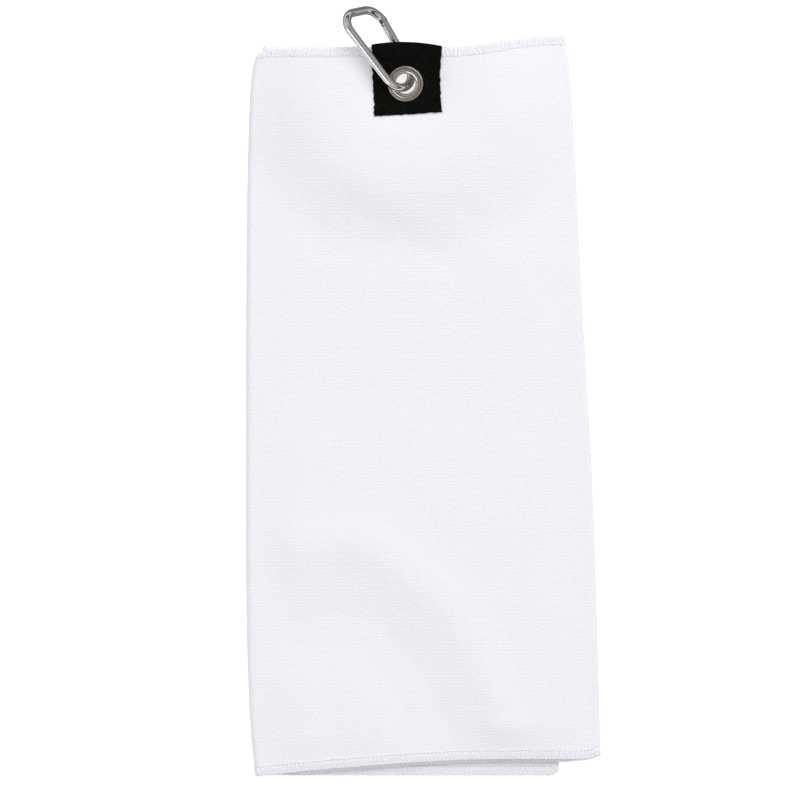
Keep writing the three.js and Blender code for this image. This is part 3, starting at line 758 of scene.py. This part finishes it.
def build_eyelet(material):
    seat = PATCH_FACE + 0.3
    foot = -(PATCH_FACE + 0.85)
    inner = GROMMET_HOLE_RADIUS
    wall = inner + GROMMET_WALL
    face = spline([
        (GROMMET_FLANGE_RADIUS, seat + 0.02), (GROMMET_FLANGE_RADIUS, seat + 0.26), (9.78, seat + 0.5),
        (9.45, seat + 0.5), (9.15, seat + 0.2), (8.85, seat + 0.14), (8.5, seat + 0.5), (7.95, seat + 0.88),
        (7.35, seat + 1.0), (6.8, seat + 0.92), (6.25, seat + 0.66), (5.85, seat + 0.3), (inner, seat - 0.1),
    ], PROFILE_SAMPLES)
    curl = spline([
        (inner, foot + 0.3), (inner + 0.1, foot + 0.02), (inner + 0.4, foot - 0.18),
        (inner + 0.8, foot - 0.19), (inner + 1.2, foot - 0.08),
    ], PROFILE_SAMPLES)
    points, faces = lathe(np.vstack([face, curl, [(inner + 1.2, foot), (wall, foot), (wall, seat)]]))
    points[:, 2] += STACK_MIDDLE_Z
    return new_piece("eyelet", points, faces, material, METAL_SHARP_ANGLE)


def build_washer(material):
    seat = -(PATCH_FACE + 0.3)
    inner = HOLE_RADIUS
    back = spline([
        (inner + 0.02, seat - 0.25), (inner + 1.2, seat - 0.27), (inner + 1.9, seat - 0.5),
        (9.3, seat - 0.48), (9.85, seat - 0.3), (GROMMET_FLANGE_RADIUS, seat - 0.05),
    ], PROFILE_SAMPLES)
    points, faces = lathe(np.vstack([[(inner, seat)], back, [(GROMMET_FLANGE_RADIUS, seat)]]))
    points[:, 2] += STACK_MIDDLE_Z
    return new_piece("washer", points, faces, material, METAL_SHARP_ANGLE)


# ---- carabiner, in its own plane: +Y along the loop, +X towards the gate, +Z its normal ----
ARM = np.array([math.sin(GATE_LEAN), math.cos(GATE_LEAN), 0])
OUT = np.array([math.cos(GATE_LEAN), -math.sin(GATE_LEAN), 0])
TANGENT = np.array([0, NARROW_RADIUS, 0]) + NARROW_RADIUS * OUT
HINGE = TANGENT + HINGE_FROM_TANGENT * ARM
SHOULDER = TANGENT + SHOULDER_ALONG * ARM - SHOULDER_RADIUS * OUT
BENDS = [
    (0.0, NARROW_RADIUS, NARROW_RADIUS),
    (CORNER_X, CORNER_Y, CORNER_RADIUS),
    (SHOULDER[0], SHOULDER[1], SHOULDER_RADIUS),
]
TURN = (
    Matrix.Rotation(CARABINER_HEADING, 3, "Z")
    @ Matrix.Rotation(CARABINER_PITCH, 3, "X")
    @ Matrix.Rotation(CARABINER_ROLL, 3, "Y")
)
CARABINER_ORIGIN = np.array([
    -CARABINER_ALONG * math.sin(CARABINER_HEADING),
    CARABINER_ALONG * math.cos(CARABINER_HEADING),
    CARABINER_Z,
])


def in_towel(points):
    """Points of the carabiner's own frame, in the towel's."""
    return np.asarray(points) @ np.array(TURN).T + CARABINER_ORIGIN


def on_gate(along, out=0.0, side=0.0):
    return HINGE + along * ARM + out * OUT + np.array([0, 0, side])


def tangent_angle(bend, following):
    """The angle at which one bend of the loop ends and the next one starts."""
    across, along = following[0] - bend[0], following[1] - bend[1]
    return math.atan2(along, across) + math.acos((bend[2] - following[2]) / math.hypot(across, along))


def loop_line(step=0.6):
    """The loop's centre line from the hinge end, round the bends and the far arm, to the nose."""
    far_arm = tangent_angle(BENDS[0], BENDS[1]) - 2 * math.pi
    end = tangent_angle(BENDS[1], BENDS[2])
    turns = [(-GATE_LEAN - 0.05, far_arm), (far_arm + 2 * math.pi, end), (end, -GATE_LEAN + 0.05)]
    arcs = []
    for (x, y, radius), (start, stop) in zip(BENDS, turns):
        angles = np.linspace(start, stop, int(radius * (start - stop) / step))
        arcs.append(np.stack([x + radius * np.cos(angles), y + radius * np.sin(angles)], -1))
    flat = arcs[0]
    for arc in arcs[1:]:
        count = int(np.linalg.norm(arc[0] - flat[-1]) / step)
        flat = np.vstack([flat, np.linspace(flat[-1], arc[0], count)[1:-1], arc])
    return np.hstack([flat, np.zeros((len(flat), 1))])


def directions_round(axis, segments):
    """Unit vectors all round an axis and square to it."""
    side = unit(np.cross(axis, [0.31, 0.2, 0.93]))
    other = np.cross(axis, side)
    ring = np.arange(segments) * 2 * math.pi / segments
    return np.cos(ring)[:, None] * side + np.sin(ring)[:, None] * other


def bar_between(name, start, end, radius, segments=48, rings=2):
    """A round bar between two points of the carabiner's frame."""
    span = np.asarray(end, float) - start
    axis = unit(span)
    heights = np.linspace(0, np.linalg.norm(span), rings)
    round_way = directions_round(axis, segments)
    points = np.vstack([start + h * axis + radius * round_way for h in heights])
    return new_piece(name, in_towel(points), tube_faces(rings, segments), None)


def bar_across(name, along, half_length, radius):
    """A round bar square to the loop's plane, for the hole of a rivet."""
    return bar_between(name, on_gate(along, 0, -half_length), on_gate(along, 0, half_length), radius, 32)


def plate(name, outline, thickness):
    """A flat plate in the loop's plane, from an outline given along and out from the hinge."""
    flat = [on_gate(along, out) for along, out in outline]
    area = sum(a[0] * b[1] - b[0] * a[1] for a, b in zip(flat, flat[1:] + flat[:1]))
    if area < 0:
        flat = flat[::-1]
    count = len(flat)
    points = [p + np.array([0, 0, z]) for z in (-thickness / 2, thickness / 2) for p in flat]
    faces = [tuple(range(count))[::-1], tuple(range(count, 2 * count))]
    faces += [(k, (k + 1) % count, (k + 1) % count + count, k + count) for k in range(count)]
    return new_piece(name, in_towel(points), faces, None)


def carve(piece, tool, operation):
    """Cuts a tool from a piece, or joins it to it, for good."""
    change = piece.modifiers.new("carve", "BOOLEAN")
    change.operation = operation
    change.solver = "EXACT"
    change.object = tool
    bpy.context.view_layer.update()
    seen = piece.evaluated_get(bpy.context.evaluated_depsgraph_get())
    mesh = bpy.data.meshes.new_from_object(seen)
    piece.modifiers.clear()
    piece.data = mesh
    bpy.data.objects.remove(tool)


def finish_metal(piece, material):
    mesh = piece.data
    mesh.materials.clear()
    mesh.materials.append(material)
    mesh.polygons.foreach_set("use_smooth", [True] * len(mesh.polygons))
    mesh.set_sharp_from_angle(angle=math.radians(CARVED_SHARP_ANGLE))
    mesh.update()
    return piece


def rectangle(along_from, along_to, out_from, out_to):
    return [(along_from, out_from), (along_to, out_from), (along_to, out_to), (along_from, out_to)]


def hinge_tongue_outline():
    outline = []
    for angle in np.linspace(-math.pi / 2, CAM_SPAN + 0.1, 28):
        r = CAM_RADIUS + CAM_RISE * min(CAM_SPAN, max(0, angle))
        outline.append((r * math.cos(angle), -r * math.sin(angle)))
    return outline + [(0.6, -1.8), (-4.4, -1.8), (-4.4, 1.8)]


def nose_outline():
    notch = RIVET_RADIUS + 0.4
    outline = [
        (GATE_SPAN + 4.2, 0.4), (GATE_SPAN + 2.3, 1.5), (GATE_SPAN - 1.5, 1.8), (GATE_SPAN - 2.1, 1.2),
        (GATE_SPAN - 2.1, -1.4), (GATE_SPAN - notch, -1.4),
    ]
    for angle in np.linspace(math.pi, 0, 13):
        outline.append((GATE_SPAN + notch * math.cos(angle), 0.1 + 0.9 * notch * math.sin(angle)))
    return outline + [(GATE_SPAN + notch, -1.6), (GATE_SPAN + 4.2, -1.6)]


def build_carabiner_body(material):
    points, faces = tube(loop_line(), WIRE_RADIUS, 40)
    body = new_piece("carabiner_loop", in_towel(points), faces, None)
    room_start = on_gate(-GATE_RADIUS - 0.35)
    room_end = on_gate(GATE_SPAN + GATE_TIP + 0.3)
    carve(body, bar_between("gate_room", room_start, room_end, WIRE_RADIUS + 1.5), "DIFFERENCE")
    carve(body, plate("hinge_tongue", hinge_tongue_outline(), TONGUE_THICKNESS), "UNION")
    carve(body, bar_across("hinge_hole", 0, 2, RIVET_RADIUS + 0.3), "DIFFERENCE")
    carve(body, plate("nose", nose_outline(), TONGUE_THICKNESS), "UNION")
    return finish_metal(body, material)


def gate_outline():
    """The gate's side, with both ends rounded about their rivets."""
    reach = GATE_RADIUS + 0.02
    hinge_end = np.linspace(math.pi / 2, 3 * math.pi / 2, 33)
    tip = np.linspace(-math.pi / 2, math.pi / 2, 33)
    outline = [(reach * math.cos(a), reach * math.sin(a)) for a in hinge_end]
    return outline + [(GATE_SPAN + reach * math.cos(a), reach * math.sin(a)) for a in tip]


def build_gate(material):
    end = GATE_SPAN + GATE_TIP
    gate = bar_between("gate_bar", on_gate(-GATE_RADIUS - 0.3), on_gate(end), GATE_RADIUS, 64, 60)
    carve(gate, plate("gate_side", gate_outline(), 8), "INTERSECT")
    carve(gate, plate("hinge_slot", rectangle(-4, BORE_START, -4, 4), SLOT_WIDTH), "DIFFERENCE")
    latch = rectangle(GATE_SPAN - 3, GATE_SPAN + 4, -4, 4)
    carve(gate, plate("latch_slot", latch, SLOT_WIDTH), "DIFFERENCE")
    bore = bar_between("bore", on_gate(BORE_START - 1), on_gate(BORE_END), BORE_RADIUS, 24)
    carve(gate, bore, "DIFFERENCE")
    for along in (0, GATE_SPAN):
        carve(gate, bar_across("rivet_hole", along, 4, RIVET_RADIUS + 0.25), "DIFFERENCE")
    return finish_metal(gate, material)


def turned(name, profile, start, axis, material, segments=32):
    """An open (radius, height) outline from axis to axis, turned about an axis from start."""
    axis = unit(np.asarray(axis, float))
    round_way = directions_round(axis, segments)
    points = [start + profile[0][1] * axis]
    for r, h in profile[1:-1]:
        points.extend(start + h * axis + r * round_way)
    points.append(start + profile[-1][1] * axis)
    faces = [(0, 1 + (k + 1) % segments, 1 + k) for k in range(segments)]
    for i in range(len(profile) - 3):
        for k in range(segments):
            n = (k + 1) % segments
            a, b = 1 + i * segments, 1 + (i + 1) * segments
            faces.append((a + k, a + n, b + n, b + k))
    last, rim = len(points) - 1, 1 + (len(profile) - 3) * segments
    faces += [(last, rim + k, rim + (k + 1) % segments) for k in range(segments)]
    return new_piece(name, in_towel(points), faces, material, METAL_SHARP_ANGLE)


def build_rivet(name, along, material):
    """A pin with two low domed heads, each with a shallow ring, set in the gate's holes."""
    head = RIVET_RADIUS + 0.45
    dome = [
        (0, 2.46), (0.4, 2.43), (0.62, 2.3), (0.72, 2.2), (0.95, 2.28), (1.15, 2.24),
        (head, 2.02), (head, 1.75), (RIVET_RADIUS, 1.65),
    ]
    profile = [(r, -h) for r, h in dome] + [(r, h) for r, h in reversed(dome)]
    return turned(name, profile, on_gate(along), [0, 0, 1], material)


def build_plunger(material):
    tip = CAM_RADIUS + 0.3
    end = tip + PLUNGER_LENGTH
    profile = [(0, tip), (0.2, tip), (PLUNGER_RADIUS - 0.06, tip + 1.1), (PLUNGER_RADIUS, tip + 1.3),
               (PLUNGER_RADIUS, end - 0.12), (PLUNGER_RADIUS - 0.12, end), (0, end)]
    return turned("plunger", profile, on_gate(0), ARM, material, 24)


def build_spring(material):
    start = CAM_RADIUS + 0.3 + PLUNGER_LENGTH + PLUNGER_TRAVEL + 0.45
    f = np.linspace(0, 1, 24 * SPRING_TURNS + 1)[:, None]
    angle = 2 * math.pi * SPRING_TURNS * f
    along = lerp(start, BORE_END - 0.5, f)
    line = HINGE + along * ARM + SPRING_RADIUS * np.cos(angle) * OUT
    line = line + SPRING_RADIUS * np.sin(angle) * np.array([0, 0, 1])
    points, faces = tube(line, SPRING_WIRE_RADIUS, 8)
    return new_piece("return_spring", in_towel(points), faces, material)


# ---- materials ----
MIX_A = 6                    # the colour sockets of a Mix node
MIX_B = 7
MIX_RESULT = 2


def new_material(name, base, roughness, metallic=0.0, **sockets):
    """A Principled material, its shader and its coordinates; sockets are values set on the shader."""
    material = bpy.data.materials.new(name)
    material.use_nodes = True
    shader = material.node_tree.nodes["Principled BSDF"]
    shader.inputs["Base Color"].default_value = (*base, 1)
    shader.inputs["Roughness"].default_value = roughness
    shader.inputs["Metallic"].default_value = metallic
    for socket, value in sockets.items():
        shader.inputs[socket.replace("_", " ")].default_value = value
    return material, shader, add_node(material, "ShaderNodeTexCoord").outputs["Object"]


def add_node(material, kind, **values):
    node = material.node_tree.nodes.new(kind)
    for name, value in values.items():
        if hasattr(node, name):
            setattr(node, name, value)
        else:
            node.inputs[name.replace("_", " ")].default_value = value
    return node


def link(material, a, b):
    material.node_tree.links.new(a, b)


def math_node(material, operation, a, b):
    node = add_node(material, "ShaderNodeMath", operation=operation)
    for socket, value in zip(node.inputs, (a, b)):
        if isinstance(value, (int, float)):
            socket.default_value = value
        else:
            link(material, value, socket)
    return node.outputs[0]


def mix_colours(material, factor, a, b):
    node = add_node(material, "ShaderNodeMix", data_type="RGBA")
    link(material, factor, node.inputs["Factor"])
    for socket, value in ((node.inputs[MIX_A], a), (node.inputs[MIX_B], b)):
        if isinstance(value, tuple):
            socket.default_value = (*value, 1)
        else:
            link(material, value, socket)
    return node.outputs[MIX_RESULT]


def add_bump(material, shader, height, distance, strength=1.0):
    bump = add_node(material, "ShaderNodeBump")
    bump.inputs["Strength"].default_value = strength
    bump.inputs["Distance"].default_value = distance
    link(material, height, bump.inputs["Height"])
    link(material, bump.outputs["Normal"], shader.inputs["Normal"])


def noise(material, coordinates, scale, detail=2.0, roughness=0.55):
    node = add_node(material, "ShaderNodeTexNoise", Scale=scale, Detail=detail, Roughness=roughness)
    link(material, coordinates, node.inputs["Vector"])
    return node.outputs["Fac"]


def scattered_specks(material, coordinates, scale, radius, rarity):
    """1 in small round specks, in the share of cells above the rarity, and 0 elsewhere."""
    cells = add_node(material, "ShaderNodeTexVoronoi", Scale=scale)
    link(material, coordinates, cells.inputs["Vector"])
    draw = add_node(material, "ShaderNodeSeparateColor")
    link(material, cells.outputs["Color"], draw.inputs[0])
    speck = math_node(material, "LESS_THAN", cells.outputs["Distance"], radius)
    chosen = math_node(material, "GREATER_THAN", draw.outputs[0], rarity)
    return math_node(material, "MULTIPLY", speck, chosen)


RIB_PERIOD = 0.0019
WAVE_UNIT = math.pi / 10     # a Wave texture of scale 1 repeats after this length


def make_towelling():
    """Ribbed white microfibre terry: ribs across the towel, matted nap, a few specks of lint."""
    material, shader, place = new_material(
        "towelling", (0.79, 0.805, 0.845), 0.95, Specular_IOR_Level=0.2, Sheen_Weight=0.2, Sheen_Roughness=0.6
    )
    ribs = add_node(
        material, "ShaderNodeTexWave", bands_direction="Y", Scale=WAVE_UNIT / RIB_PERIOD, Distortion=4.0,
        Detail=3.0, Detail_Scale=3.0
    )
    link(material, place, ribs.inputs["Vector"])
    nap = noise(material, place, 1100, 3.0)
    tufts = noise(material, place, 420, 3.0, 0.7)
    matted = noise(material, place, 60, 3.0)
    height = math_node(material, "ADD", math_node(material, "MULTIPLY", ribs.outputs["Fac"], 0.28), nap)
    height = math_node(material, "ADD", height, math_node(material, "MULTIPLY", tufts, 1.1))
    add_bump(material, shader, height, 0.0006, 0.4)
    shade = math_node(material, "MULTIPLY", math_node(material, "ADD", tufts, nap), 0.5)
    colour = mix_colours(material, shade, (0.745, 0.757, 0.797), (0.83, 0.839, 0.872))
    colour = mix_colours(
        material, math_node(material, "MULTIPLY", matted, 0.12), colour, (0.73, 0.75, 0.79)
    )
    lint = math_node(material, "MULTIPLY", scattered_specks(material, place, 38.0, 0.012, 0.93), 0.6)
    colour = mix_colours(material, lint, colour, (0.2, 0.19, 0.18))
    link(material, colour, shader.inputs["Base Color"])
    return material


def make_thread():
    """White bulked polyester overlock thread, with its fine filaments."""
    material, shader, place = new_material(
        "overlock_thread", (0.85, 0.86, 0.89), 0.85, Specular_IOR_Level=0.25, Sheen_Weight=0.2,
        Sheen_Roughness=0.5
    )
    filaments = noise(material, place, 3800, 3.0, 0.7)
    bulk = noise(material, place, 900, 2.0)
    add_bump(material, shader, math_node(material, "ADD", filaments, bulk), 0.00025, 0.45)
    colour = mix_colours(material, filaments, (0.81, 0.82, 0.855), (0.885, 0.89, 0.92))
    link(material, colour, shader.inputs["Base Color"])
    return material


def make_patch_fabric():
    """Near-black dense felted fabric with a fine grain and lighter fibre ends."""
    material, shader, place = new_material(
        "patch_fabric", (0.004, 0.004, 0.0035), 0.95, Specular_IOR_Level=0.03
    )
    grain = noise(material, place, 1500, 4.0, 0.7)
    clumps = noise(material, place, 300, 3.0)
    add_bump(material, shader, math_node(material, "ADD", grain, clumps), 0.0004, 0.8)
    bright = math_node(material, "MULTIPLY", math_node(material, "POWER", grain, 3.0), 1.6)
    colour = mix_colours(material, bright, (0.0022, 0.0022, 0.002), (0.012, 0.012, 0.0105))
    fibre = math_node(material, "MULTIPLY", scattered_specks(material, place, 900.0, 0.3, 0.72), 0.7)
    colour = mix_colours(material, fibre, colour, (0.02, 0.02, 0.018))
    link(material, colour, shader.inputs["Base Color"])
    return material


def make_metal(name, base, dark, roughness, scratch):
    """Polished metal with fine handling scratches and slightly uneven gloss."""
    material, shader, place = new_material(name, base, roughness, 1.0)
    scuffs = noise(material, place, 500, 5.0, 0.7)
    stretch = add_node(material, "ShaderNodeMapping")
    stretch.inputs["Scale"].default_value = (1.0, 0.08, 1.0)
    link(material, place, stretch.inputs["Vector"])
    lines = noise(material, stretch.outputs["Vector"], 6000, 2.0)
    gloss = math_node(material, "ADD", math_node(material, "MULTIPLY", scuffs, 0.1), roughness - 0.05)
    link(material, gloss, shader.inputs["Roughness"])
    add_bump(material, shader, math_node(material, "ADD", lines, scuffs), 0.00002, scratch)
    colour = mix_colours(material, math_node(material, "MULTIPLY", scuffs, 0.6), base, dark)
    link(material, colour, shader.inputs["Base Color"])
    return material


def make_floor():
    """A pale floor with a soft light of its own, like a light table."""
    material, shader, place = new_material(
        "pale_floor", (0.52, 0.52, 0.52), 0.9, Specular_IOR_Level=0.1, Emission_Color=(1, 1, 1, 1),
        Emission_Strength=0.7
    )
    colour = mix_colours(material, noise(material, place, 9, 3.0), (0.51, 0.51, 0.51), (0.53, 0.53, 0.53))
    link(material, colour, shader.inputs["Base Color"])
    return material


towelling = make_towelling()
thread = make_thread()
patch_fabric = make_patch_fabric()
nickel = make_metal("grommet_nickel", (0.66, 0.61, 0.55), (0.5, 0.45, 0.39), 0.08, 0.07)
aluminium = make_metal("carabiner_aluminium", (0.82, 0.815, 0.79), (0.72, 0.715, 0.695), 0.09, 0.06)
steel = make_metal("rivet_steel", (0.62, 0.62, 0.62), (0.5, 0.5, 0.5), 0.25, 0.3)

# ---- the object ----
cloth = stand_in(build_cloth(towelling), "towel", "towelling", "towel_cloth")
seams = build_seams(thread)
patch = stand_in(build_patch(patch_fabric), "towel", "patch_fabric", "grommet_patch")
stand_in(build_eyelet(nickel), "towel", "grommet_metal", "grommet_eyelet")
stand_in(build_washer(nickel), "towel", "grommet_metal", "grommet_washer")
stand_in(build_carabiner_body(aluminium), "carabiner", "carabiner_metal", "carabiner_body")
stand_in(build_gate(aluminium), "gate", "carabiner_metal", "carabiner_gate")
stand_in(build_rivet("hinge_rivet", 0, steel), "carabiner", "rivet_steel", "gate_hinge_rivet")
stand_in(build_rivet("latch_rivet", GATE_SPAN, steel), "gate", "rivet_steel", "gate_latch_rivet")
stand_in(build_plunger(steel), "plunger", "rivet_steel", "gate_plunger")
stand_in(build_spring(steel), "gate", "rivet_steel", "gate_spring")

# ---- floor, light and camera ----
FLOOR_HALF = 2.0
FLOOR_Z = -0.0005
floor_mesh = bpy.data.meshes.new("floor")
floor_mesh.from_pydata(
    [(x * FLOOR_HALF, y * FLOOR_HALF, FLOOR_Z) for x, y in ((-1, -1), (1, -1), (1, 1), (-1, 1))],
    [], [(0, 1, 2, 3)]
)
floor_mesh.materials.append(make_floor())
floor = add_object("floor", floor_mesh)
floor.visible_glossy = False

VIEW_WIDTH = 0.4496
VIEW_CENTRE = Vector((GROMMET[0] - 0.0031, GROMMET[1] - 0.1776, 0.0))
LENS = 800
SENSOR = 36
camera_data = bpy.data.cameras.new("camera")
camera_data.lens = LENS
camera_data.sensor_width = SENSOR
camera_height = VIEW_WIDTH * LENS / SENSOR
camera = add_object("camera", camera_data)
camera.location = VIEW_CENTRE + Vector((0, 0, camera_height))
bpy.context.scene.camera = camera


def add_light(name, place, aim, size, watts):
    data = bpy.data.lights.new(name, "AREA")
    data.shape = "RECTANGLE"
    data.size, data.size_y = size
    data.energy = watts
    light = add_object(name, data)
    light.location = place
    light.rotation_euler = (Vector(aim) - Vector(place)).to_track_quat("-Z", "Y").to_euler()
    return light


key = add_light("key_softbox", (1.3, 2.2, 2.4), (0, 0.1, 0), (2.0, 2.0), 58)
overhead = add_light("overhead_softbox", (0.2, 0.6, 2.4), (0, 0.1, 0), (1.4, 1.4), 19)
strip = add_light("strip_softbox", (-0.98, -1.2, 1.7), (0, 0, 0), (2.2, 0.55), 11.5)
strip.rotation_euler = (0, 0, math.radians(-55))      # it faces straight down instead of at its aim
for light in (key, overhead):
    light.visible_glossy = False

# The studio round the table, which isn't a physical one. Glossy rays see STUDIO_WALLS, as height and
# brightness, changed to each side by BRIGHT_SIDE. All other rays see the even STUDIO_AMBIENT.
STUDIO_AMBIENT = 0.45
STUDIO_WALLS = [
    (-1.0, 0.15), (-0.94, 0.18), (-0.86, 0.3), (-0.4, 0.26), (-0.14, 0.34), (-0.04, 0.9), (0.11, 0.9),
    (0.2, 0.1), (0.34, 0.12), (0.42, 0.5), (0.7, 0.62), (0.86, 0.58), (0.93, 0.4), (0.97, 0.22), (1.0, 0.2),
]
BRIGHT_SIDE = (-0.3, -0.2)
world = bpy.data.worlds.new("studio")
bpy.context.scene.world = world
world.use_nodes = True
nodes, links = world.node_tree.nodes, world.node_tree.links
direction = nodes.new("ShaderNodeTexCoord")
split = nodes.new("ShaderNodeSeparateXYZ")
links.new(direction.outputs["Generated"], split.inputs[0])


def scaled(source, factor, offset):
    """source times factor plus offset, where offset is a number or another socket."""
    node = nodes.new("ShaderNodeMath")
    node.operation = "MULTIPLY_ADD"
    links.new(source, node.inputs[0])
    node.inputs[1].default_value = factor
    if isinstance(offset, float):
        node.inputs[2].default_value = offset
    else:
        links.new(offset, node.inputs[2])
    return node.outputs[0]


ramp = nodes.new("ShaderNodeValToRGB")
links.new(scaled(split.outputs["Z"], 0.5, 0.5), ramp.inputs[0])
elements = ramp.color_ramp.elements
while len(elements) < len(STUDIO_WALLS):
    elements.new(0.5)
for element, (height, level) in zip(elements, STUDIO_WALLS):
    element.position = (height + 1) / 2
    element.color = (level, level, level, 1)
sides = scaled(split.outputs["Y"], BRIGHT_SIDE[1], scaled(split.outputs["X"], BRIGHT_SIDE[0], 1.0))
walls = nodes.new("ShaderNodeVectorMath")
walls.operation = "SCALE"
links.new(ramp.outputs[0], walls.inputs[0])
links.new(sides, walls.inputs["Scale"])
rays = nodes.new("ShaderNodeLightPath")
studio = nodes.new("ShaderNodeMix")
studio.data_type = "RGBA"
studio.inputs[MIX_A].default_value = (STUDIO_AMBIENT, STUDIO_AMBIENT, STUDIO_AMBIENT, 1)
links.new(rays.outputs["Is Glossy Ray"], studio.inputs["Factor"])
links.new(walls.outputs[0], studio.inputs[MIX_B])
links.new(studio.outputs[MIX_RESULT], nodes["Background"].inputs["Color"])
nodes["Background"].inputs["Strength"].default_value = 1.0
bpy.context.scene.view_settings.view_transform = "Standard"
